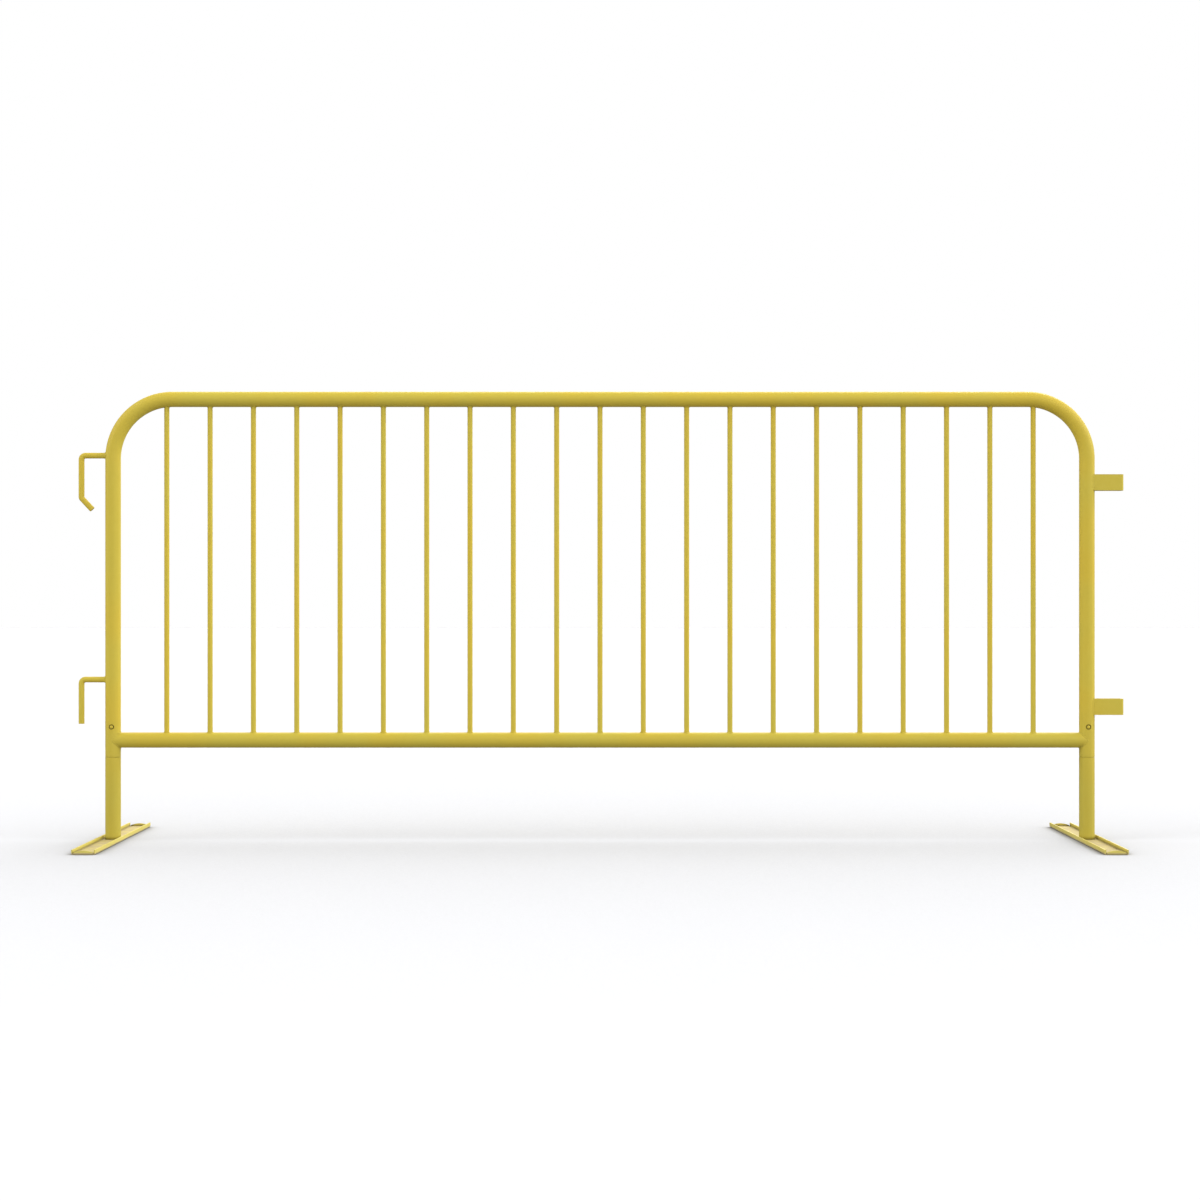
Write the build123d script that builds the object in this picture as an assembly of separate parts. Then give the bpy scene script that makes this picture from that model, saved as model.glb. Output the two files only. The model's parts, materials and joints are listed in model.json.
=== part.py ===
from build123d import *
import math
import os

# Interlocking crowd control barrier: a bent tube frame with a bottom rail and
# slender uprights, two hooks on the left post, two strap receivers on the right
# post, and two steel tray feet whose spigots plug into the legs and lock with
# spring buttons.
#
# Millimetres. X runs along the barrier with the hooks on the -X side, Y is its
# depth with the buttons on the -Y side, and Z points up from the floor. The
# origin is on the floor, midway along the overall length.

# Overall size
OVERALL_LENGTH = 2590.8
OVERALL_HEIGHT = 1113.0
HOOK_REACH = 85.5
RECEIVER_REACH = 88.8

# Frame tube
TUBE_DIAMETER = 38.1
TUBE_WALL = 1.65
CORNER_RADIUS = 147.0
BOTTOM_RAIL_HEIGHT = 248.7
LEG_END_HEIGHT = 207.0
SEAM_CHAMFER = 1.0

# Uprights
UPRIGHT_COUNT = 21
UPRIGHT_PITCH = 107.5
UPRIGHT_DIAMETER = 12.7
UPRIGHT_WALL = 1.25

# Hooks, bent from round bar
HOOK_DIAMETER = 14.3
HOOK_BEND_RADIUS = 10.0
HOOK_KNEE_RADIUS = 7.5
UPPER_HOOK_HEIGHT = 954.4
UPPER_HOOK_KNEE_HEIGHT = 849.3
UPPER_HOOK_TIP_LENGTH = 39.1
UPPER_HOOK_TIP_SLOPE = 47.0
LOWER_HOOK_HEIGHT = 398.8
LOWER_HOOK_END_HEIGHT = 289.1

# Receivers, flat strap bent into a loop
UPPER_RECEIVER_HEIGHT = 887.5
LOWER_RECEIVER_HEIGHT = 331.5
RECEIVER_STRAP_WIDTH = 40.0
RECEIVER_STRAP_THICKNESS = 4.8
RECEIVER_LOOP_WIDTH = 28.0
RECEIVER_INNER_BEND = 2.0

# Feet, folded from sheet
FOOT_LENGTH = 610.0
FOOT_WIDTH = 56.0
FOOT_FLANGE_HEIGHT = 12.0
FOOT_LIP_HEIGHT = 10.0
FOOT_SHEET = 3.0
FOOT_INNER_BEND = 1.0
FOOT_LIP_SHOULDER = 5.0
FOOT_LIP_GAP = 1.5
FOOT_LIP_TAIL = 10.0
FOOT_RELIEF = 5.0

# Spigots
SPIGOT_CLEARANCE = 0.3
SPIGOT_WALL = 2.0
SPIGOT_ABOVE_SEAM = 100.0
SPIGOT_BELOW_SEAM = 60.0
SPIGOT_TOP_CHAMFER = 1.5

# Spring buttons
BUTTON_HEIGHT = 282.0
BUTTON_DIAMETER = 8.0
BUTTON_PROUD = 2.2
BUTTON_DOME_RADIUS = 3.0
BUTTON_FLANGE_DIAMETER = 12.0
BUTTON_FLANGE_THICKNESS = 1.5
BUTTON_FLANGE_FACE = 13.4
BUTTON_CLEARANCE = 0.3
LEG_HOLE_DIAMETER = 13.0
SPRING_WIDTH = 10.0
SPRING_THICKNESS = 0.8
SPRING_HEEL_RADIUS = 3.0
SPRING_HEAD = 7.0
SPRING_STRAIGHT = 12.0
SPRING_DROP = 56.0
SPRING_BACK_GAP = 1.9

# Sizes that follow from the ones above
TUBE_RADIUS = TUBE_DIAMETER / 2
TUBE_BORE = TUBE_RADIUS - TUBE_WALL
LEFT_POST_X = -OVERALL_LENGTH / 2 + HOOK_REACH
RIGHT_POST_X = OVERALL_LENGTH / 2 - RECEIVER_REACH
MIDDLE_X = (LEFT_POST_X + RIGHT_POST_X) / 2
TOP_RAIL_HEIGHT = OVERALL_HEIGHT - TUBE_RADIUS
HOOK_RADIUS = HOOK_DIAMETER / 2
HOOK_LEG_X = LEFT_POST_X - HOOK_REACH + HOOK_RADIUS
SPIGOT_RADIUS = TUBE_BORE - SPIGOT_CLEARANCE
SPIGOT_BORE = SPIGOT_RADIUS - SPIGOT_WALL
BOTTOM_ALIGN = (Align.CENTER, Align.CENTER, Align.MIN)


def rod(start, end, radius):
    """A solid round bar from one point to another."""
    axis = Vector(*end) - Vector(*start)
    place = Plane(origin=start, z_dir=axis)
    return place * Cylinder(radius, axis.length, align=BOTTOM_ALIGN)


def tube(start, end, radius, bore):
    """A round tube from one point to another."""
    return rod(start, end, radius) - rod(start, end, bore)


def bent_rod(path, radius):
    """A solid round bar that follows a path."""
    section = Plane(origin=path @ 0, z_dir=path % 0) * Circle(radius)
    return sweep(section, path=path)


def frame_path():
    """The centreline of the outer tube: up the left leg, across the top, down the right leg."""
    return FilletPolyline(
        (LEFT_POST_X, 0, LEG_END_HEIGHT),
        (LEFT_POST_X, 0, TOP_RAIL_HEIGHT),
        (RIGHT_POST_X, 0, TOP_RAIL_HEIGHT),
        (RIGHT_POST_X, 0, LEG_END_HEIGHT),
        radius=CORNER_RADIUS,
    )


def frame_envelope():
    """The space that the outer tube fills, for shaping what is welded to it."""
    return bent_rod(frame_path(), TUBE_RADIUS)


def button_hole(x, diameter):
    """A cylinder from a leg's axis out through its front wall, where the button stands."""
    return rod((x, 0, BUTTON_HEIGHT), (x, -TUBE_DIAMETER, BUTTON_HEIGHT), diameter / 2)


def bevel_seam(rims):
    """Bevels the outer edge of a tube's end, where a leg meets its stem."""
    outer = [rim for rim in rims if rim.radius > TUBE_RADIUS - TUBE_WALL / 2]
    return chamfer(outer, SEAM_CHAMFER)


def outer_frame_tube(frame):
    """Both legs and the top rail as one bent tube, drilled for the two buttons."""
    body = frame - bent_rod(frame_path(), TUBE_BORE)
    for x in (LEFT_POST_X, RIGHT_POST_X):
        body -= button_hole(x, LEG_HOLE_DIAMETER)
    return bevel_seam(body.edges().filter_by(GeomType.CIRCLE).group_by(Axis.Z)[0])


def bottom_rail_envelope():
    """The space between the post centrelines that the bottom rail fills."""
    start = (LEFT_POST_X, 0, BOTTOM_RAIL_HEIGHT)
    end = (RIGHT_POST_X, 0, BOTTOM_RAIL_HEIGHT)
    return rod(start, end, TUBE_RADIUS)


def bottom_rail(rail, frame):
    """The lower rail as a tube, its ends shaped to sit against the posts."""
    start = (LEFT_POST_X, 0, BOTTOM_RAIL_HEIGHT)
    end = (RIGHT_POST_X, 0, BOTTOM_RAIL_HEIGHT)
    return rail - rod(start, end, TUBE_BORE) - frame


def upright(x, rail, frame):
    """One slender upright between the rails, both ends shaped to the rails."""
    start = (x, 0, BOTTOM_RAIL_HEIGHT)
    end = (x, 0, TOP_RAIL_HEIGHT)
    radius = UPRIGHT_DIAMETER / 2
    return tube(start, end, radius, radius - UPRIGHT_WALL) - frame - rail


def hook_upper(frame):
    """The upper hook: out from the post, down, and its tip turned back under."""
    slope = math.radians(UPPER_HOOK_TIP_SLOPE)
    tip_x = HOOK_LEG_X + UPPER_HOOK_TIP_LENGTH * math.cos(slope)
    tip_z = UPPER_HOOK_KNEE_HEIGHT - UPPER_HOOK_TIP_LENGTH * math.sin(slope)
    path = FilletPolyline(
        (LEFT_POST_X, 0, UPPER_HOOK_HEIGHT),
        (HOOK_LEG_X, 0, UPPER_HOOK_HEIGHT),
        (HOOK_LEG_X, 0, UPPER_HOOK_KNEE_HEIGHT),
        (tip_x, 0, tip_z),
        radius=(HOOK_BEND_RADIUS, HOOK_KNEE_RADIUS),
    )
    return bent_rod(path, HOOK_RADIUS) - frame


def hook_lower(frame):
    """The lower hook: out from the post and straight down."""
    path = FilletPolyline(
        (LEFT_POST_X, 0, LOWER_HOOK_HEIGHT),
        (HOOK_LEG_X, 0, LOWER_HOOK_HEIGHT),
        (HOOK_LEG_X, 0, LOWER_HOOK_END_HEIGHT),
        radius=HOOK_BEND_RADIUS,
    )
    return bent_rod(path, HOOK_RADIUS) - frame


def receiver(height, frame):
    """A flat strap bent into a loop that takes a neighbouring barrier's hook."""
    loop_outer = RectangleRounded(
        2 * RECEIVER_REACH, RECEIVER_LOOP_WIDTH, RECEIVER_INNER_BEND + RECEIVER_STRAP_THICKNESS
    )
    loop_inner = RectangleRounded(
        2 * (RECEIVER_REACH - RECEIVER_STRAP_THICKNESS),
        RECEIVER_LOOP_WIDTH - 2 * RECEIVER_STRAP_THICKNESS,
        RECEIVER_INNER_BEND,
    )
    outboard = Pos(RECEIVER_REACH, 0) * Rectangle(2 * RECEIVER_REACH, 2 * RECEIVER_LOOP_WIDTH)
    section = (loop_outer - loop_inner) & outboard
    base = Pos(RIGHT_POST_X, 0, height - RECEIVER_STRAP_WIDTH / 2)
    strap = base * extrude(section, RECEIVER_STRAP_WIDTH)
    return strap - frame


def foot_channel():
    """The folded web and flanges of a foot, open at the top, along Y."""
    outer_bend = FOOT_INNER_BEND + FOOT_SHEET
    outline = Pos(0, FOOT_FLANGE_HEIGHT / 2) * Rectangle(FOOT_WIDTH, FOOT_FLANGE_HEIGHT)
    outline = fillet(outline.vertices().group_by(Axis.Y)[0], outer_bend)
    hollow_width = FOOT_WIDTH - 2 * FOOT_SHEET
    hollow = Pos(0, FOOT_SHEET + FOOT_FLANGE_HEIGHT / 2) * Rectangle(hollow_width, FOOT_FLANGE_HEIGHT)
    hollow = fillet(hollow.vertices().group_by(Axis.Y)[0], FOOT_INNER_BEND)
    section = Plane.XZ * (outline - hollow)
    return extrude(section, FOOT_LENGTH / 2, both=True)


def foot_lip(end):
    """The turned-up lip, arched along its top, that closes a foot at its front (-1) or back (1)."""
    tip = end * FOOT_LENGTH / 2
    inside = end * (FOOT_LENGTH / 2 - FOOT_SHEET)
    tail = end * (FOOT_LENGTH / 2 - FOOT_LIP_TAIL)
    outline = make_face(
        Polyline(
            (tail, 0),
            (tip, 0),
            (tip, FOOT_LIP_HEIGHT),
            (inside, FOOT_LIP_HEIGHT),
            (inside, FOOT_SHEET),
            (tail, FOOT_SHEET),
            close=True,
        )
    )
    heel = outline.vertices().sort_by_distance((tip, 0, 0))[0]
    outline = fillet(heel, FOOT_INNER_BEND + FOOT_SHEET)
    knee = outline.vertices().sort_by_distance((inside, FOOT_SHEET, 0))[0]
    outline = fillet(knee, FOOT_INNER_BEND)
    width = FOOT_WIDTH - 2 * FOOT_SHEET - 2 * FOOT_LIP_GAP
    lip = extrude(Plane.YZ * outline, width / 2, both=True)
    left, right = -width / 2, width / 2
    sides = Polyline((left, FOOT_LIP_SHOULDER), (left, 0), (right, 0), (right, FOOT_LIP_SHOULDER))
    crest = ThreePointArc((right, FOOT_LIP_SHOULDER), (0, FOOT_LIP_HEIGHT), (left, FOOT_LIP_SHOULDER))
    arch = Plane.XZ * make_face(sides + crest)
    return lip & extrude(arch, FOOT_LENGTH, both=True)


def foot_plate(x):
    """A foot: a long shallow tray folded from sheet, across the barrier."""
    body = foot_channel()
    hollow_width = FOOT_WIDTH - 2 * FOOT_SHEET
    for end in (-1, 1):
        relief_y = end * (FOOT_LENGTH - FOOT_RELIEF) / 2
        body -= Pos(0, relief_y, 0) * Box(hollow_width, FOOT_RELIEF, 2 * FOOT_FLANGE_HEIGHT)
        body += foot_lip(end)
    return Pos(x, 0, 0) * body


def foot_stem(x):
    """The short tube that stands on a foot and carries the leg's end."""
    body = tube((x, 0, FOOT_SHEET), (x, 0, LEG_END_HEIGHT), TUBE_RADIUS, TUBE_BORE)
    return bevel_seam(body.edges().filter_by(GeomType.CIRCLE).group_by(Axis.Z)[-1])


def foot_spigot(x):
    """The inner tube fixed in a stem that slides up into the leg, drilled for the button."""
    bottom = (x, 0, LEG_END_HEIGHT - SPIGOT_BELOW_SEAM)
    seam = (x, 0, LEG_END_HEIGHT - SEAM_CHAMFER)
    top = (x, 0, LEG_END_HEIGHT + SPIGOT_ABOVE_SEAM)
    body = rod(bottom, top, SPIGOT_RADIUS)
    rim = body.edges().filter_by(GeomType.CIRCLE).group_by(Axis.Z)[-1]
    body = chamfer(rim, SPIGOT_TOP_CHAMFER)
    body += rod(bottom, seam, TUBE_BORE)
    body -= rod(bottom, top, SPIGOT_BORE)
    return body - button_hole(x, BUTTON_DIAMETER + 2 * BUTTON_CLEARANCE)


def snap_button(x):
    """A domed button with a flange behind it that keeps it in the spigot."""
    root = (x, -BUTTON_FLANGE_FACE, BUTTON_HEIGHT)
    crown = (x, -TUBE_RADIUS - BUTTON_PROUD, BUTTON_HEIGHT)
    back = (x, -BUTTON_FLANGE_FACE + BUTTON_FLANGE_THICKNESS, BUTTON_HEIGHT)
    shank = rod(root, crown, BUTTON_DIAMETER / 2)
    rim = shank.edges().filter_by(GeomType.CIRCLE).group_by(Axis.Y)[0]
    return fillet(rim, BUTTON_DOME_RADIUS) + rod(root, back, BUTTON_FLANGE_DIAMETER / 2)


def snap_spring(x):
    """A leaf spring bent into a V: one leaf behind the button, one against the back wall."""
    leaf_y = -BUTTON_FLANGE_FACE + BUTTON_FLANGE_THICKNESS + SPRING_THICKNESS / 2
    path = FilletPolyline(
        (x, leaf_y, BUTTON_HEIGHT + SPRING_HEAD),
        (x, leaf_y, BUTTON_HEIGHT - SPRING_STRAIGHT),
        (x, 0, BUTTON_HEIGHT - SPRING_DROP),
        (x, SPIGOT_BORE - SPRING_BACK_GAP, BUTTON_HEIGHT),
        radius=SPRING_HEEL_RADIUS,
    )
    start = Plane(origin=path @ 0, x_dir=(1, 0, 0), z_dir=path % 0)
    return sweep(start * Rectangle(SPRING_WIDTH, SPRING_THICKNESS), path=path)


def save(shape, name):
    """Write one sub-part under its node's name."""
    export_step(shape, os.path.join("parts", name + ".step"))


def main():
    os.makedirs("parts", exist_ok=True)
    frame = frame_envelope()
    rail = bottom_rail_envelope()
    save(outer_frame_tube(frame), "outer_frame_tube")
    save(bottom_rail(rail, frame), "bottom_rail")
    first_x = MIDDLE_X - UPRIGHT_PITCH * (UPRIGHT_COUNT - 1) / 2
    for number in range(UPRIGHT_COUNT):
        x = first_x + number * UPRIGHT_PITCH
        save(upright(x, rail, frame), f"upright_{number + 1:02d}")
    save(hook_upper(frame), "hook_upper")
    save(hook_lower(frame), "hook_lower")
    save(receiver(UPPER_RECEIVER_HEIGHT, frame), "receiver_upper")
    save(receiver(LOWER_RECEIVER_HEIGHT, frame), "receiver_lower")
    for side, x in (("left", LEFT_POST_X), ("right", RIGHT_POST_X)):
        save(foot_plate(x), f"foot_plate_{side}")
        save(foot_stem(x), f"foot_stem_{side}")
        save(foot_spigot(x), f"foot_spigot_{side}")
        save(snap_button(x), f"snap_button_{side}")
        save(snap_spring(x), f"snap_spring_{side}")


main()
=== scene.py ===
import json
import math

import bmesh
import bpy
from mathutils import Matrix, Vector


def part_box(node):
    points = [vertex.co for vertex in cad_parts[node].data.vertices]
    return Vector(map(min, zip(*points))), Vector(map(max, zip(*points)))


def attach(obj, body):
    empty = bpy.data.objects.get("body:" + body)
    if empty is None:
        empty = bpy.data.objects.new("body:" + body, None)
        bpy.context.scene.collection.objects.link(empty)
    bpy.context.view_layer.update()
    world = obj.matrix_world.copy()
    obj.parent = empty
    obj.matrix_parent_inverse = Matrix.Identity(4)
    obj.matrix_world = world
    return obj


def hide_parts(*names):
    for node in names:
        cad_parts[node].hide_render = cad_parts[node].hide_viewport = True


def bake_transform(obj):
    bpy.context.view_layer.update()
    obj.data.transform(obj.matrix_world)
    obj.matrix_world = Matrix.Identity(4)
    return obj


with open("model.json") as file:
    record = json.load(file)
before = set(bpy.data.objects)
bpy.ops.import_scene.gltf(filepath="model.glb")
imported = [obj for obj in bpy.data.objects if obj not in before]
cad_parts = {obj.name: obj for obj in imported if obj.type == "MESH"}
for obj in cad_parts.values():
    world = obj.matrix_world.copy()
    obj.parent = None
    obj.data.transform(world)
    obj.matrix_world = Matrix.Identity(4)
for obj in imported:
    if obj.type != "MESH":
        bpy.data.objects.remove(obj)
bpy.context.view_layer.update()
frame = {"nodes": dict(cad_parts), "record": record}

# An interlocking crowd control barrier. Most CAD nodes keep their shapes and only get
# powder coat. The outer tube gets a skin with smoother bends, each leaf spring a copy
# cut into short lengths, and the welds are added as beads.
#
# Metres. X runs along the barrier, -Y faces the camera and Z points up.

X_AXIS = Vector((1, 0, 0))
Y_AXIS = Vector((0, 1, 0))
Z_AXIS = Vector((0, 0, 1))

# The bend at each top corner of the outer tube, which the upper hook is welded beside
CORNER_RADIUS = 0.147

# The outer tube: its wall, its bevelled ends and button holes, then how finely it is
# drawn. A patch round each hole, HOLE_PATCH of the tube's radius to each side, carries
# loops of points at these shares of the way from its square rim to the round hole.
TUBE_WALL = 0.00165
SEAM_BEVEL = 0.0010
HOLE_DIAMETER = 0.0130
TUBE_SIDES = 64
BEND_STEPS = 40
HOLE_STEPS = 16
HOLE_PATCH = 0.65
PATCH_SHARES = (0.35, 0.65, 0.88, 1.0)

# Edges sharper than this stay sharp
CREASE = math.radians(30)

# How many lengths each leaf spring is cut into
SPRING_CUTS = 20

# Weld beads: how far a bead reaches onto each surface, how far it stands out (a share of
# its reach) and how far it is sunk in, then its ripples
UPRIGHT_LEG = 0.0016
HOOK_LEG = 0.0020
RECEIVER_LEG = 0.0022
RAIL_LEG = 0.0016
STEM_LEG = 0.0014
BEAD_CROWN = 0.16
BEAD_SINK = 0.00006
BEAD_ROOT = 0.0008
RIPPLE_PITCH = 0.0017
RIPPLE_HEIGHT = 0.00011
RIPPLE_LAG = 1.3
STEPS_PER_RIPPLE = 7
STEPS_ACROSS = 6
FEWEST_RIPPLES = 3

# An open bead keeps this share of its reach at its ends, and this squares it off
BEAD_END = 0.15
BEAD_SQUARENESS = 9

# How often a point is moved from one surface to the other to find where they meet
MEET_ROUNDS = 12

# The powder coat's patterns, as noise scales from wide clouds down to grain
CLOUD_SCALE = 5.0
DRIFT_SCALE = 28.0
WAVE_SCALE = 60.0
MOTTLE_SCALE = 90.0
SCUFF_SCALE = 260.0
PEEL_SCALE = 420.0
SPECKLE_SCALE = 1400.0

# The powder coat's shades, as shares of its own colour
WARM_CLOUD = (1.03, 0.985, 0.88)
COOL_CLOUD = (0.97, 1.005, 1.12)
RUBBED_EDGE = (1.12, 1.16, 1.9)
# Painted shade on the legs, darker and greyer towards the floor
LOW_SHADE_TINT = (0.66, 0.74, 1.0)
THIN_COAT = 0.90
BRIGHT_GRAIN = 1.18
# Painted shadow round the roots of the stems
ROOT_SHADOW = 0.25
# Painted shade in seams and corners
CREVICE_SHADE = 0.16

# How strongly those shades show, and how the coat shines
MOTTLE_DEPTH = 0.20
GRAIN_DEPTH = 0.30
RUB_DEPTH = 0.55
SATIN_ROUGHNESS = (0.50, 0.60)
RUBBED_ROUGHNESS = 0.10
DUSTY_ROUGHNESS = 0.35
SATIN_SPECULAR = 0.22
DUSTY_SPECULAR = 0.08

# The orange peel's depth, its long waves beside it, and the edges' softness
PEEL_HEIGHT = 0.00005
WAVE_SHARE = 0.8
RUB_RADIUS = 0.0009
SOFT_EDGE = 0.0005
BEVEL_SAMPLES = 6
EDGE_TURN = (0.98, 0.80)

# Zinc plate
BLOOM_SCALE = 45.0
BLOOM_SHADE = 0.80
DRAW_SCALE = 2600.0
DRAW_STRETCH = (1.0, 1.0, 0.04)
DRAW_DEPTH = 0.5
DRAW_SHINE = 1.12
DRAW_HEIGHT = 0.00002
ZINC_ROUGHNESS = (0.30, 0.44)

# Wear and painted shade: how far the painted crevice shade reaches and how dark it gets,
# the painted shade that thins out up the legs, the painted shadow round their roots, and
# the dust in and on the feet. Each top and level is a height above the floor.
CREVICE_REACH = 0.003
TRAY_REACH = 0.012
CREVICE_DEPTH = 0.9
CREVICE_OPENNESS = (0.88, 0.40)
CREVICE_SAMPLES = 8
# Painted shade on the legs, darker towards the floor: its top and depth; the clouds and
# thinning after them are shared with the feet's pale film
LOW_SHADE_TOP = 0.42
LOW_SHADE_DEPTH = 0.6
FILM_AND_SHADE_CLOUDS = (0.2, 0.8)
FILM_AND_SHADE_THIN = 0.8
# Painted shadow round the roots of the stems: how high it reaches and how dark it gets
ROOT_TOP = 0.0125
ROOT_DEPTH = 0.85
DUST_COLOUR = (0.45, 0.36, 0.20)
WEB_TOP = 0.0029
WEB_MARGIN = 0.0008
DUST_LEVEL = 0.0035
DUST_TOP = 0.0055
TRAY_DUST = 0.9
DRIFT_THIN = 0.6
RIM_COLOUR = (0.66, 0.60, 0.20)
RIM_DUST = 0.55

# Camera
CAMERA_DISTANCE = 5.253
CAMERA_HEIGHT = 0.5961
CAMERA_LENS = 63.5
CAMERA_SENSOR = 36.0

# Soft lights round a dark dome: azimuth (0 is the camera's side, 90 is +X), elevation,
# radiance at the middle, and how tightly each one is gathered
SOFT_LIGHTS = (
    (165.0, 35.0, 6.7, 8.0),
    (85.0, 28.0, 5.4, 10.0),
    (285.0, 28.0, 4.8, 10.0),
    (20.0, 20.0, 3.4, 10.0),
)
WHITE = (1, 1, 1, 1)
GROUND_LIGHT = 0.42
HORIZON_SOFTNESS = 0.06
FLOOR_SIZE = 80.0
FLOOR_ALBEDO = 0.575
FLOOR_TINT = (0.993, 0.996, 1.018)
# The floor's painted shadow: how far it looks for what hides its sky, and how dark it gets
SHADE_DISTANCE = 4.0
SHADE_DEPTH = 0.95

YELLOW = "yellow_powder_coat"
ZINC = "zinc_steel"

record = frame["record"]


# Materials

def add(tree, kind, **settings):
    """A new node, with its plain settings and the values of its unlinked inputs."""
    node = tree.nodes.new(kind)
    for name, value in settings.items():
        if hasattr(node, name):
            setattr(node, name, value)
        else:
            node.inputs[name.replace("_", " ")].default_value = value
    return node


def noise(tree, place, scale, detail, roughness=0.5):
    """Noise at one size, as a value from 0 to 1."""
    node = add(tree, "ShaderNodeTexNoise", Scale=scale, Detail=detail, Roughness=roughness)
    tree.links.new(place, node.inputs["Vector"])
    return node.outputs["Fac"]


def ramp(tree, value, low, high, to_low, to_high, shape="SMOOTHSTEP"):
    """A value taken from one range to another, clamped."""
    node = tree.nodes.new("ShaderNodeMapRange")
    node.interpolation_type = shape
    node.inputs["From Min"].default_value = low
    node.inputs["From Max"].default_value = high
    node.inputs["To Min"].default_value = to_low
    node.inputs["To Max"].default_value = to_high
    tree.links.new(value, node.inputs["Value"])
    return node.outputs["Result"]


def math_node(tree, operation, first, second):
    """The result of a sum on two values, each a socket or a number."""
    node = tree.nodes.new("ShaderNodeMath")
    node.operation = operation
    for socket, value in zip(node.inputs, (first, second)):
        if isinstance(value, bpy.types.NodeSocket):
            tree.links.new(value, socket)
        else:
            socket.default_value = value
    return node.outputs["Value"]


def blend_colours(tree, share, first, second):
    """One colour turning to another as share goes from 0 to 1."""
    node = tree.nodes.new("ShaderNodeMix")
    node.data_type = "RGBA"
    tree.links.new(share, node.inputs["Factor"])
    for socket, colour in zip((node.inputs["A"], node.inputs["B"]), (first, second)):
        if isinstance(colour, bpy.types.NodeSocket):
            tree.links.new(colour, socket)
        else:
            socket.default_value = (*colour, 1.0)
    return node.outputs["Result"]


def edge_mask(tree, radius):
    """Rises from 0 on open surface towards 1 at a sharp edge."""
    rounded = tree.nodes.new("ShaderNodeBevel")
    rounded.samples = BEVEL_SAMPLES
    rounded.inputs["Radius"].default_value = radius
    geometry = tree.nodes.new("ShaderNodeNewGeometry")
    turn = tree.nodes.new("ShaderNodeVectorMath")
    turn.operation = "DOT_PRODUCT"
    tree.links.new(rounded.outputs["Normal"], turn.inputs[0])
    tree.links.new(geometry.outputs["Normal"], turn.inputs[1])
    return ramp(tree, turn.outputs["Value"], *EDGE_TURN, 0.0, 1.0)


def crevice_mask(tree, reach, alone):
    """Rises from 0 on open surface towards 1 deep in a seam or corner, where shade is painted.

    With alone set, only the piece's own corners count, and not what stands beside it.
    """
    openness = tree.nodes.new("ShaderNodeAmbientOcclusion")
    openness.samples = CREVICE_SAMPLES
    openness.only_local = alone
    openness.inputs["Distance"].default_value = reach
    return ramp(tree, openness.outputs["AO"], *CREVICE_OPENNESS, 0.0, 1.0)


def scaled(colour, share):
    """A colour made lighter or darker."""
    return tuple(channel * share for channel in colour)


def shaded(colour, shade):
    """A colour with each channel taken by its own share."""
    return tuple(channel * share for channel, share in zip(colour, shade))


def new_material(name):
    """An empty material with its shader, and the place on the object as a socket."""
    material = bpy.data.materials.new(name)
    material.use_nodes = True
    tree = material.node_tree
    tree.nodes.clear()
    shader = tree.nodes.new("ShaderNodeBsdfPrincipled")
    output = tree.nodes.new("ShaderNodeOutputMaterial")
    tree.links.new(shader.outputs["BSDF"], output.inputs["Surface"])
    place = tree.nodes.new("ShaderNodeTexCoord").outputs["Object"]
    return material, tree, shader, place


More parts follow.
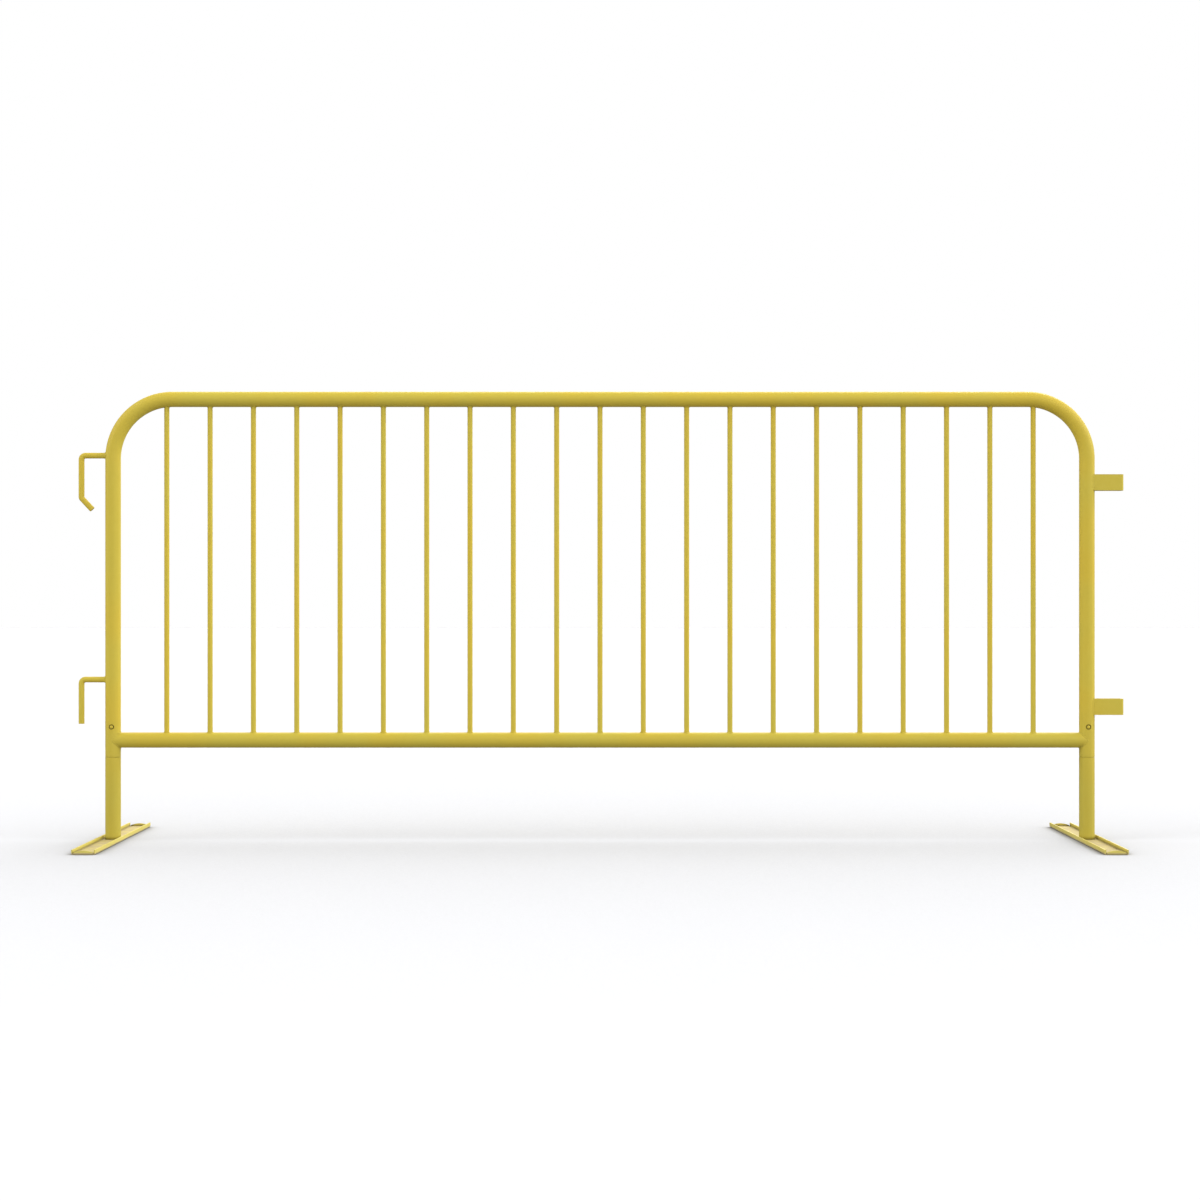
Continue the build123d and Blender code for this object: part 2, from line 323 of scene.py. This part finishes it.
def powder_coat(name, colour, dusty=False):
    """Satin powder coat: cloudy film, orange peel, rubbed edges, painted shade in crevices.

    A dusty coat is a foot's, with a pale film all over and settled dust on its web. Any
    other has painted shade darkening the legs towards the floor and round their roots.
    """
    material, tree, shader, place = new_material(name)
    split = tree.nodes.new("ShaderNodeSeparateXYZ")
    tree.links.new(place, split.inputs["Vector"])
    level = split.outputs["Z"]
    cloud = noise(tree, place, CLOUD_SCALE, 2.0)
    mottle = noise(tree, place, MOTTLE_SCALE, 3.0)
    speckle = noise(tree, place, SPECKLE_SCALE, 1.0)
    scuffs = noise(tree, place, SCUFF_SCALE, 4.0, 0.65)

    clouded = ramp(tree, cloud, 0.35, 0.65, 0.0, 1.0)
    coat = blend_colours(tree, clouded, shaded(colour, COOL_CLOUD), shaded(colour, WARM_CLOUD))
    thin = ramp(tree, mottle, 0.40, 0.75, 0.0, MOTTLE_DEPTH)
    coat = blend_colours(tree, thin, coat, scaled(colour, THIN_COAT))
    grain = ramp(tree, speckle, 0.62, 0.80, 0.0, GRAIN_DEPTH)
    coat = blend_colours(tree, grain, coat, scaled(colour, BRIGHT_GRAIN))
    scuffed = ramp(tree, scuffs, 0.45, 0.62, 0.0, 1.0)
    edges = math_node(tree, "MULTIPLY", edge_mask(tree, RUB_RADIUS), scuffed)
    rubbed = math_node(tree, "MULTIPLY", edges, RUB_DEPTH)
    coat = blend_colours(tree, rubbed, coat, shaded(colour, RUBBED_EDGE))

    # Painted shade: the coat is darkened in seams and corners, where little light reaches
    crevice_shade = math_node(
        tree, "MULTIPLY",
        crevice_mask(tree, TRAY_REACH if dusty else CREVICE_REACH, dusty),
        CREVICE_DEPTH,
    )
    gloss_loss = math_node(tree, "MULTIPLY", edges, RUBBED_ROUGHNESS)
    if dusty:
        rim = ramp(tree, cloud, *FILM_AND_SHADE_CLOUDS, RIM_DUST * FILM_AND_SHADE_THIN, RIM_DUST)
        coat = blend_colours(tree, rim, coat, RIM_COLOUR)
        heaps = noise(tree, place, DRIFT_SCALE, 5.0, 0.6)
        drifts = ramp(tree, heaps, 0.35, 0.65, TRAY_DUST * DRIFT_THIN, TRAY_DUST)
        low = ramp(tree, level, DUST_TOP, DUST_LEVEL, 0.0, 1.0)
        settled = math_node(tree, "MULTIPLY", low, drifts)
        coat = blend_colours(tree, settled, coat, DUST_COLOUR)
        inside = ramp(tree, level, WEB_TOP - WEB_MARGIN, WEB_TOP, 0.0, 1.0)
        crevice_shade = math_node(tree, "MULTIPLY", crevice_shade, inside)
        dullness = math_node(tree, "MULTIPLY", settled, DUSTY_ROUGHNESS)
        gloss_loss = math_node(tree, "ADD", gloss_loss, dullness)
    else:
        # Painted shade: the legs turn darker and greyer towards the floor, patchy with the
        # clouds
        low_shade = math_node(
            tree, "MULTIPLY",
            ramp(tree, level, LOW_SHADE_TOP, 0.0, 0.0, 1.0),
            ramp(tree, cloud, *FILM_AND_SHADE_CLOUDS, LOW_SHADE_DEPTH * FILM_AND_SHADE_THIN, LOW_SHADE_DEPTH),
        )
        coat = blend_colours(tree, low_shade, coat, shaded(colour, LOW_SHADE_TINT))
        # Painted shadow round the roots of the stems, where they stand on the feet
        root_shadow = ramp(tree, level, ROOT_TOP, WEB_TOP, 0.0, ROOT_DEPTH)
        coat = blend_colours(tree, root_shadow, coat, scaled(colour, ROOT_SHADOW))
    # The coat with the painted crevice shade laid over it
    coat_and_shade = blend_colours(tree, crevice_shade, coat, scaled(colour, CREVICE_SHADE))
    tree.links.new(coat_and_shade, shader.inputs["Base Color"])

    satin = ramp(tree, mottle, 0.3, 0.7, *SATIN_ROUGHNESS)
    tree.links.new(math_node(tree, "ADD", satin, gloss_loss), shader.inputs["Roughness"])
    specular = DUSTY_SPECULAR if dusty else SATIN_SPECULAR
    shader.inputs["Specular IOR Level"].default_value = specular

    peel = noise(tree, place, PEEL_SCALE, 2.0)
    waves = noise(tree, place, WAVE_SCALE, 1.0)
    height = math_node(tree, "ADD", peel, math_node(tree, "MULTIPLY", waves, WAVE_SHARE))
    bump = add(tree, "ShaderNodeBump", Strength=1.0, Distance=PEEL_HEIGHT)
    tree.links.new(height, bump.inputs["Height"])
    soft = tree.nodes.new("ShaderNodeBevel")
    soft.samples = BEVEL_SAMPLES
    soft.inputs["Radius"].default_value = SOFT_EDGE
    tree.links.new(soft.outputs["Normal"], bump.inputs["Normal"])
    tree.links.new(bump.outputs["Normal"], shader.inputs["Normal"])
    return material


def zinc_plate(name, colour):
    """Zinc plated steel: dull bright metal with fine draw lines and faint bloom."""
    material, tree, shader, place = new_material(name)
    shader.inputs["Metallic"].default_value = 1.0
    bloom = noise(tree, place, BLOOM_SCALE, 4.0, 0.6)
    stretch = tree.nodes.new("ShaderNodeMapping")
    stretch.inputs["Scale"].default_value = DRAW_STRETCH
    tree.links.new(place, stretch.inputs["Vector"])
    draw = noise(tree, stretch.outputs["Vector"], DRAW_SCALE, 2.0)
    bloomed = ramp(tree, bloom, 0.4, 0.7, 0.0, 1.0)
    plate = blend_colours(tree, bloomed, colour, scaled(colour, BLOOM_SHADE))
    lines = ramp(tree, draw, 0.45, 0.75, 0.0, DRAW_DEPTH)
    plate = blend_colours(tree, lines, plate, scaled(colour, DRAW_SHINE))
    tree.links.new(plate, shader.inputs["Base Color"])
    tree.links.new(ramp(tree, bloom, 0.35, 0.7, *ZINC_ROUGHNESS), shader.inputs["Roughness"])
    bump = add(tree, "ShaderNodeBump", Strength=0.5, Distance=DRAW_HEIGHT)
    tree.links.new(draw, bump.inputs["Height"])
    tree.links.new(bump.outputs["Normal"], shader.inputs["Normal"])
    return material


finishes = {}
for entry in record["materials"]:
    make = zinc_plate if entry["class"] == "brushed_steel" else powder_coat
    finishes[entry["slot"]] = make("finish_" + entry["slot"], entry["base_color"])

colours = {entry["slot"]: entry["base_color"] for entry in record["materials"]}
tray_finish = powder_coat("finish_yellow_powder_coat_dusty", colours[YELLOW], dusty=True)

for part in record["subparts"]:
    finish = finishes[part["material_slot"]]
    if part["node"].startswith("foot_plate_"):
        finish = tray_finish
    for material_slot in frame["nodes"][part["node"]].material_slots:
        material_slot.material = finish


# Surfaces that beads lie on. Each gives its outward normal beside a point, and the
# point on the surface beside it, sunk by some depth.

class Tube:
    """A round tube along a straight line."""

    def __init__(self, centre, axis, radius):
        self.centre = centre
        self.axis = axis
        self.radius = radius

    def core(self, point):
        return self.centre + self.axis * (point - self.centre).dot(self.axis)

    def normal(self, point):
        return (point - self.core(point)).normalized()

    def snap(self, point, depth=0.0):
        return self.core(point) + self.normal(point) * (self.radius - depth)


class BentPost(Tube):
    """A post with its bend above: the centreline curves towards +X or -X."""

    def __init__(self, centre, radius, bend_start, toward):
        super().__init__(centre, Z_AXIS, radius)
        self.hub = Vector((centre.x + toward * CORNER_RADIUS, centre.y, bend_start))

    def core(self, point):
        if point.z <= self.hub.z:
            return super().core(point)
        spoke = Vector((point.x - self.hub.x, 0, point.z - self.hub.z))
        return self.hub + spoke.normalized() * CORNER_RADIUS


class Plate:
    """A flat face."""

    def __init__(self, centre, outward):
        self.centre = centre
        self.outward = outward

    def normal(self, point):
        return self.outward

    def snap(self, point, depth=0.0):
        return point - self.outward * ((point - self.centre).dot(self.outward) + depth)


def meet(point, first, second):
    """The nearby point that lies on both surfaces."""
    for _ in range(MEET_ROUNDS):
        point = second.snap(first.snap(point))
    return point


def lay_bead(build, seam, first, second, leg, closed=True):
    """Adds one bead to a mesh: a rippled fillet along a seam between two surfaces."""
    count = len(seam)
    last = count - 1
    spans = count if closed else last
    length = sum((seam[(i + 1) % count] - seam[i]).length for i in range(spans))
    ripples = max(FEWEST_RIPPLES, round(length / RIPPLE_PITCH))
    turning = 0.0
    alongs = []
    for i, point in enumerate(seam):
        ahead = seam[(i + 1) % count] if closed else seam[min(i + 1, last)]
        behind = seam[i - 1] if closed else seam[max(i - 1, 0)]
        along = (ahead - behind).normalized()
        alongs.append(along)
        turning += along.cross(first.normal(point)).dot(second.normal(point))
    side = 1.0 if turning >= 0 else -1.0

    rings = []
    travelled = 0.0
    for i, point in enumerate(seam):
        if i:
            travelled += (point - seam[i - 1]).length
        normal_1 = first.normal(point)
        normal_2 = second.normal(point)
        out_1 = side * alongs[i].cross(normal_1)
        out_2 = -side * alongs[i].cross(normal_2)
        outward = (normal_1 + normal_2).normalized()
        reach = leg
        if not closed:
            share = 2 * travelled / length - 1
            fullness = math.sqrt(max(0.0, 1 - abs(share) ** BEAD_SQUARENESS))
            reach = leg * max(BEAD_END, fullness)
        phase = 2 * math.pi * ripples * travelled / length
        start = first.snap(point + out_1.normalized() * reach, BEAD_SINK)
        end = second.snap(point + out_2.normalized() * reach, BEAD_SINK)
        loop = []
        for step in range(STEPS_ACROSS + 1):
            v = step / STEPS_ACROSS
            arch = 4 * v * (1 - v)
            ripple = RIPPLE_HEIGHT * math.cos(phase - RIPPLE_LAG * arch) * arch
            lift = BEAD_CROWN * reach * arch + ripple * reach / leg
            loop.append(build.verts.new(start.lerp(end, v) + outward * lift))
        loop.append(build.verts.new(point - outward * BEAD_ROOT * reach / leg))
        rings.append(loop)

    width = len(rings[0])
    for i in range(spans):
        here = rings[i]
        there = rings[(i + 1) % count]
        for k in range(width):
            j = (k + 1) % width
            build.faces.new((here[k], here[j], there[j], there[k]))
    if not closed:
        build.faces.new(rings[0])
        build.faces.new(reversed(rings[-1]))


def finish_mesh(name, build, slot=YELLOW):
    """Turns a mesh in the making into one smooth piece with its finish."""
    bmesh.ops.recalc_face_normals(build, faces=build.faces)
    mesh = bpy.data.meshes.new(name)
    build.to_mesh(mesh)
    build.free()
    mesh.shade_smooth()
    mesh.materials.append(finishes[slot])
    piece = bpy.data.objects.new(name, mesh)
    bpy.context.scene.collection.objects.link(piece)
    return piece


def steps_round(radius):
    """How many steps a seam of about this radius takes, so that its ripples are smooth."""
    ripples = max(FEWEST_RIPPLES, round(2 * math.pi * radius / RIPPLE_PITCH))
    return ripples * STEPS_PER_RIPPLE


def rod_seam(rod, surface, toward):
    """The closed line where a rod, coming along toward, runs into a tube or plate."""
    across = rod.axis.orthogonal().normalized()
    other = rod.axis.cross(across)
    steps = steps_round(rod.radius)
    seam = []
    for step in range(steps):
        angle = 2 * math.pi * step / steps
        spoke = across * math.cos(angle) + other * math.sin(angle)
        side = rod.centre + spoke * rod.radius
        seam.append(meet(side + toward, surface, rod))
    return seam


def centre_of(node):
    """The middle of a CAD node's box."""
    low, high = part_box(node)
    return (low + high) / 2


def size_of(node):
    """How far a CAD node's box reaches along each axis."""
    low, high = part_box(node)
    return high - low


# The tubes, from the frame
stems = {side: centre_of("foot_stem_" + side) for side in ("left", "right")}
tube_radius = size_of("foot_stem_left").x / 2
rail = Tube(centre_of("bottom_rail"), X_AXIS, tube_radius)
top_low, top_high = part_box("outer_frame_tube")
top_rail = Tube(Vector((0, 0, top_high.z - tube_radius)), X_AXIS, tube_radius)
bend_start = top_rail.centre.z - CORNER_RADIUS
posts = {
    "left": BentPost(Vector((stems["left"].x, 0, 0)), tube_radius, bend_start, 1),
    "right": BentPost(Vector((stems["right"].x, 0, 0)), tube_radius, bend_start, -1),
}
tube_bore = tube_radius - TUBE_WALL
hole_radius = HOLE_DIAMETER / 2
button_height = centre_of("snap_button_left").z


class FrameTube:
    """The outer tube's skin: swept smoothly round both bends, drilled, with bevelled ends."""

    def __init__(self):
        self.build = bmesh.new()
        self.half_patch = HOLE_STEPS // 2
        self.stations = self.lay_out()
        self.patch_rows = (2, len(self.stations) - 3 - HOLE_STEPS)

    def lay_out(self):
        """Each ring's centre, heading and bevel, from one leg's end to the other's."""
        leg_end = top_low.z
        spread = HOLE_PATCH * tube_radius
        rows = [(leg_end, SEAM_BEVEL), (leg_end + SEAM_BEVEL, 0.0)]
        for i in range(HOLE_STEPS + 1):
            rows.append((button_height + spread * (2 * i / HOLE_STEPS - 1), 0.0))
        left = posts["left"]
        right = posts["right"]
        stations = [(Vector((left.centre.x, 0, z)), Z_AXIS, bevel) for z, bevel in rows]
        for post, start in ((left, -90), (right, 0)):
            for i in range(BEND_STEPS + 1):
                turn = math.radians(start + 90 * i / BEND_STEPS)
                spoke = Vector((math.sin(turn), 0, math.cos(turn)))
                stations.append((post.hub + spoke * CORNER_RADIUS, Y_AXIS.cross(spoke), 0.0))
        for z, bevel in reversed(rows):
            stations.append((Vector((right.centre.x, 0, z)), -Z_AXIS, bevel))
        return stations

    def in_patch(self, row, column, margin):
        """Whether a point (margin 1) or a face (margin 0) lies in the patch round a hole."""
        if not margin - self.half_patch <= column < self.half_patch:
            return False
        return any(start + margin <= row < start + HOLE_STEPS for start in self.patch_rows)

    def ring(self, row, radius):
        """One ring of points, from the front of the tube round, with None inside a patch."""
        centre, heading, bevel = self.stations[row]
        across = heading.cross(Y_AXIS)
        if radius == tube_radius:
            radius -= bevel
        points = []
        for k in range(TUBE_SIDES):
            if self.in_patch(row, k if k < TUBE_SIDES / 2 else k - TUBE_SIDES, 1):
                points.append(None)
                continue
            angle = 2 * math.pi * k / TUBE_SIDES
            spoke = across * math.sin(angle) - Y_AXIS * math.cos(angle)
            points.append(self.build.verts.new(centre + spoke * radius))
        return points

    def skin(self, radius):
        """The faces at one radius, with both drilled patches.

        Returns the rings at the tube's ends and the edges of the holes.
        """
        rings = [self.ring(row, radius) for row in range(len(self.stations))]
        for row, (here, there) in enumerate(zip(rings, rings[1:])):
            for k in range(-TUBE_SIDES // 2, TUBE_SIDES // 2):
                if not self.in_patch(row, k, 0):
                    self.build.faces.new((here[k], here[k + 1], there[k + 1], there[k]))
        holes = [self.patch(rings, radius, row) for row in self.patch_rows]
        return [rings[0], rings[-1]] + holes

    def patch(self, rings, radius, row):
        """Loops of points from one patch's square rim to its round hole.

        Returns the hole's edge.
        """
        half = self.half_patch
        top = row + HOLE_STEPS
        rim = [rings[row][k] for k in range(-half, half)]
        rim += [rings[i][half] for i in range(row, top)]
        rim += [rings[top][k] for k in range(half, -half, -1)]
        rim += [rings[i][-half] for i in range(top, row, -1)]
        centre = Vector((self.stations[row][0].x, 0, button_height))
        loop = rim
        for share in PATCH_SHARES:
            inner = []
            for vert in rim:
                flat = vert.co - centre
                flat.y = 0
                place = flat.lerp(flat.normalized() * hole_radius, share)
                place.y = -math.sqrt(radius ** 2 - place.x ** 2)
                inner.append(self.build.verts.new(centre + place))
            self.bridge(loop, inner)
            loop = inner
        return loop

    def bridge(self, first, second):
        """Faces joining two closed loops of points."""
        for k in range(-1, len(first) - 1):
            self.build.faces.new((first[k], first[k + 1], second[k + 1], second[k]))

    def finish(self):
        """Both skins, joined at the tube's ends and through its holes, as one piece."""
        for outer, inner in zip(self.skin(tube_radius), self.skin(tube_bore)):
            self.bridge(outer, inner)
        piece = finish_mesh("outer_frame_tube_skin", self.build)
        piece.data.set_sharp_from_angle(angle=CREASE)
        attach(piece, "frame")
        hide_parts("outer_frame_tube")


def bend_springs():
    """Each leaf spring again, cut into short lengths."""
    for side in ("left", "right"):
        node = "snap_spring_" + side
        low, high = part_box(node)
        build = bmesh.new()
        build.from_mesh(frame["nodes"][node].data)
        build.transform(frame["nodes"][node].matrix_world)
        bmesh.ops.remove_doubles(build, verts=build.verts, dist=1e-6)
        for i in range(1, SPRING_CUTS):
            level = Vector((0, 0, low.z + (high.z - low.z) * i / SPRING_CUTS))
            everything = build.verts[:] + build.edges[:] + build.faces[:]
            bmesh.ops.bisect_plane(build, geom=everything, plane_co=level, plane_no=Z_AXIS)
        piece = finish_mesh(node + "_leaf", build, ZINC)
        piece.data.set_sharp_from_angle(angle=CREASE)
        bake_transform(piece)
        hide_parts(node)


def weld_uprights():
    """A bead round each upright's foot on the bottom rail and head under the top rail."""
    for name, target, rise in (("lower", rail, 1), ("upper", top_rail, -1)):
        build = bmesh.new()
        for node in sorted(n for n in frame["nodes"] if n.startswith("upright_")):
            centre = centre_of(node)
            centre.z = target.centre.z
            upright = Tube(centre, Z_AXIS, size_of(node).x / 2)
            seam = rod_seam(upright, target, Z_AXIS * rise * tube_radius)
            lay_bead(build, seam, target, upright, UPRIGHT_LEG)
        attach(finish_mesh(f"upright_welds_{name}", build), "frame")


def weld_bottom_rail():
    """A bead round each end of the bottom rail, along the coped line on the post."""
    for side, inward in (("left", 1), ("right", -1)):
        post = posts[side]
        steps = steps_round(tube_radius)
        seam = []
        for step in range(steps):
            angle = 2 * math.pi * step / steps
            depth = abs(math.sin(angle)) * tube_radius
            across = math.cos(angle) * tube_radius
            up = math.sin(angle) * tube_radius
            seam.append(Vector((post.centre.x + inward * depth, across, rail.centre.z + up)))
        build = bmesh.new()
        lay_bead(build, seam, post, rail, RAIL_LEG)
        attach(finish_mesh(f"bottom_rail_weld_{side}", build), "frame")


def weld_hooks():
    """A bead round each hook's bar where it leaves the left post."""
    post = posts["left"]
    for node in ("hook_upper", "hook_lower"):
        low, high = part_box(node)
        radius = (high.y - low.y) / 2
        bar = Tube(Vector((post.centre.x, 0, high.z - radius)), X_AXIS, radius)
        build = bmesh.new()
        lay_bead(build, rod_seam(bar, post, -X_AXIS * tube_radius), post, bar, HOOK_LEG)
        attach(finish_mesh(node + "_weld", build), "frame")


def weld_receivers():
    """A bead down each outer face of a receiver's strap, on the right post."""
    post = posts["right"]
    for node in ("receiver_upper", "receiver_lower"):
        low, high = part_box(node)
        build = bmesh.new()
        for face_y, outward in ((low.y, -Y_AXIS), (high.y, Y_AXIS)):
            face = Plate(Vector((high.x, face_y, high.z)), outward)
            x = post.centre.x + math.sqrt(tube_radius ** 2 - face_y ** 2)
            margin = RECEIVER_LEG / 2
            height = high.z - low.z - 2 * margin
            steps = round(height / RIPPLE_PITCH) * STEPS_PER_RIPPLE
            start = Vector((x, face_y, low.z + margin))
            seam = [start + Z_AXIS * height * i / steps for i in range(steps + 1)]
            lay_bead(build, seam, post, face, RECEIVER_LEG, closed=False)
        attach(finish_mesh(node + "_weld", build), "frame")


def weld_stems():
    """A bead round each stem where it stands on its foot."""
    for side in ("left", "right"):
        low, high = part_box("foot_stem_" + side)
        stem = Tube(Vector((stems[side].x, 0, low.z)), Z_AXIS, tube_radius)
        web = Plate(stem.centre, Z_AXIS)
        build = bmesh.new()
        lay_bead(build, rod_seam(stem, web, Z_AXIS * 0), web, stem, STEM_LEG)
        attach(finish_mesh(f"foot_stem_weld_{side}", build), "foot_" + side)


FrameTube().finish()
bend_springs()
weld_uprights()
weld_bottom_rail()
weld_hooks()
weld_receivers()
weld_stems()


# Camera

def make_camera():
    """Level, in front of the middle of the frame, and 5 m or so away."""
    camera = bpy.data.objects.new("camera", bpy.data.cameras.new("camera"))
    camera.data.lens = CAMERA_LENS
    camera.data.sensor_width = CAMERA_SENSOR
    middle = (stems["left"].x + stems["right"].x) / 2
    camera.location = (middle, -CAMERA_DISTANCE, CAMERA_HEIGHT)
    camera.rotation_euler = (math.radians(90), 0, 0)
    bpy.context.scene.collection.objects.link(camera)
    bpy.context.scene.camera = camera


# Floor and light

def make_floor():
    """A wide matt floor that rays from the object pass through, so its underside stays dim."""
    build = bmesh.new()
    half = FLOOR_SIZE / 2
    square = ((-half, -half), (half, -half), (half, half), (-half, half))
    build.faces.new([build.verts.new((x, y, 0)) for x, y in square])
    mesh = bpy.data.meshes.new("floor")
    build.to_mesh(mesh)
    build.free()
    material = bpy.data.materials.new("floor")
    material.use_nodes = True
    tree = material.node_tree
    shader = tree.nodes["Principled BSDF"]
    shader.inputs["Roughness"].default_value = 1.0
    shader.inputs["Specular IOR Level"].default_value = 0.0
    # Painted shadow: the floor's colour darkens where the object hides its sky, on top of the
    # shadows the lights cast
    open_sky = tree.nodes.new("ShaderNodeAmbientOcclusion")
    open_sky.inputs["Distance"].default_value = SHADE_DISTANCE
    colour = scaled(FLOOR_TINT, FLOOR_ALBEDO)
    shade = blend_colours(tree, open_sky.outputs["AO"], scaled(colour, 1 - SHADE_DEPTH), colour)
    tree.links.new(shade, shader.inputs["Base Color"])
    mesh.materials.append(material)
    floor = bpy.data.objects.new("floor", mesh)
    bpy.context.scene.collection.objects.link(floor)
    floor.visible_diffuse = False
    floor.visible_glossy = False


def heading(azimuth, elevation):
    """The direction from the object to a light."""
    turn = math.radians(azimuth)
    rise = math.radians(elevation)
    return (math.sin(turn) * math.cos(rise), -math.cos(turn) * math.cos(rise), math.sin(rise))


def make_light():
    """Soft lights all round, strongest from behind and above, before a white backdrop."""
    world = bpy.data.worlds.new("studio")
    bpy.context.scene.world = world
    world.use_nodes = True
    tree = world.node_tree
    tree.nodes.clear()
    direction = tree.nodes.new("ShaderNodeTexCoord").outputs["Generated"]
    split = tree.nodes.new("ShaderNodeSeparateXYZ")
    tree.links.new(direction, split.inputs["Vector"])
    glow = 0.0
    for azimuth, elevation, radiance, focus in SOFT_LIGHTS:
        facing = tree.nodes.new("ShaderNodeVectorMath")
        facing.operation = "DOT_PRODUCT"
        facing.inputs[1].default_value = heading(azimuth, elevation)
        tree.links.new(direction, facing.inputs[0])
        lit = math_node(tree, "MAXIMUM", facing.outputs["Value"], 0.0)
        lobe = math_node(tree, "MULTIPLY", math_node(tree, "POWER", lit, focus), radiance)
        glow = math_node(tree, "ADD", lobe, glow)
    horizon = (-HORIZON_SOFTNESS, HORIZON_SOFTNESS)
    above = ramp(tree, split.outputs["Z"], *horizon, 0.0, 1.0)
    below = ramp(tree, split.outputs["Z"], *horizon, GROUND_LIGHT, 0.0)
    light = tree.nodes.new("ShaderNodeBackground")
    light.inputs["Color"].default_value = WHITE
    strength = math_node(tree, "ADD", math_node(tree, "MULTIPLY", glow, above), below)
    tree.links.new(strength, light.inputs["Strength"])

    backdrop = tree.nodes.new("ShaderNodeBackground")
    backdrop.inputs["Color"].default_value = WHITE
    rays = tree.nodes.new("ShaderNodeLightPath")
    choose = tree.nodes.new("ShaderNodeMixShader")
    tree.links.new(rays.outputs["Is Camera Ray"], choose.inputs["Fac"])
    tree.links.new(light.outputs["Background"], choose.inputs[1])
    tree.links.new(backdrop.outputs["Background"], choose.inputs[2])
    output = tree.nodes.new("ShaderNodeOutputWorld")
    tree.links.new(choose.outputs["Shader"], output.inputs["Surface"])
    bpy.context.scene.view_settings.view_transform = "Standard"


make_camera()
make_floor()
make_light()
